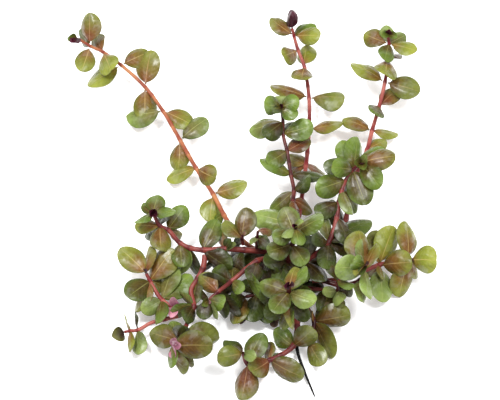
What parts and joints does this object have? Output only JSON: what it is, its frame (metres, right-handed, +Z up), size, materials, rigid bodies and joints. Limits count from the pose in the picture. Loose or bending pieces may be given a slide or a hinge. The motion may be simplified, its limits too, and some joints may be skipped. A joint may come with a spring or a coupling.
{
  "type": "dwarf rotala plant",
  "caption": "Low spreading aquarium plant, picked and lying down: creeping pink-red stems with opposite oval leaves, green with a copper flush, around a short rootstock.",
  "frame": {"origin": "on the surface that the plant lies on, under the middle of its whole box", "axes": "+Z up from the surface, +Y away from the viewer along the three high shoots, +X to the viewer's right"},
  "size_m": [0.1824, 0.2084, 0.0488],
  "materials": {
    "leaf_blade": "olive green leaf with a copper flush at its base and a pale midrib, satin",
    "shoot_mixed": "pink-red to dark red stem with green leaves grown on it, satin",
    "crown_root": "brown fibrous rootstock, matt",
    "dark_root": "almost black old root, matt"
  },
  "bodies": {
    "root": {"bottom_left_shoot_stem": "shoot_mixed", "centre_rosette_stem": "shoot_mixed", "centre_top_rosette_stem": "shoot_mixed", "crown": "crown_root", "dark_shoot_stem": "shoot_mixed", "front_left_shoot_stem": "shoot_mixed", "front_shoot_stem": "shoot_mixed", "high_right_shoot_leaf_01": "leaf_blade", "high_right_shoot_leaf_02": "leaf_blade", "high_right_shoot_leaf_03": "leaf_blade", "high_right_shoot_leaf_04": "leaf_blade", "high_right_shoot_leaf_05": "leaf_blade", "high_right_shoot_leaf_06": "leaf_blade", "high_right_shoot_leaf_07": "leaf_blade", "high_right_shoot_stem": "shoot_mixed", "left_shoot_stem": "shoot_mixed", "long_shoot_leaf_01": "leaf_blade", "long_shoot_leaf_02": "leaf_blade", "long_shoot_leaf_03": "leaf_blade", "long_shoot_leaf_04": "leaf_blade", "long_shoot_leaf_05": "leaf_blade", "long_shoot_leaf_06": "leaf_blade", "long_shoot_leaf_07": "leaf_blade", "long_shoot_leaf_08": "leaf_blade", "long_shoot_leaf_09": "leaf_blade", "long_shoot_leaf_10": "leaf_blade", "long_shoot_leaf_11": "leaf_blade", "long_shoot_leaf_12": "leaf_blade", "long_shoot_leaf_13": "leaf_blade", "long_shoot_leaf_14": "leaf_blade", "long_shoot_leaf_15": "leaf_blade", "long_shoot_stem": "shoot_mixed", "low_left_shoot_stem": "shoot_mixed", "low_right_shoot_stem": "shoot_mixed", "old_root": "dark_root", "pointed_shoot_stem": "shoot_mixed", "right_rosette_stem": "shoot_mixed", "right_shoot_stem": "shoot_mixed", "side_shoot_stem": "shoot_mixed", "small_dark_shoot_stem": "shoot_mixed", "small_right_shoot_stem": "shoot_mixed", "top_shoot_leaf_01": "leaf_blade", "top_shoot_leaf_02": "leaf_blade", "top_shoot_leaf_03": "leaf_blade", "top_shoot_leaf_04": "leaf_blade", "top_shoot_leaf_05": "leaf_blade", "top_shoot_leaf_06": "leaf_blade", "top_shoot_leaf_07": "leaf_blade", "top_shoot_leaf_08": "leaf_blade", "top_shoot_stem": "shoot_mixed", "under_shoot_stem": "shoot_mixed", "wide_leaf_shoot_leaf_01": "leaf_blade", "wide_leaf_shoot_leaf_02": "leaf_blade", "wide_leaf_shoot_leaf_03": "leaf_blade", "wide_leaf_shoot_leaf_04": "leaf_blade", "wide_leaf_shoot_leaf_05": "leaf_blade", "wide_leaf_shoot_leaf_06": "leaf_blade", "wide_leaf_shoot_stem": "leaf_blade"}
  },
  "joints": []
}
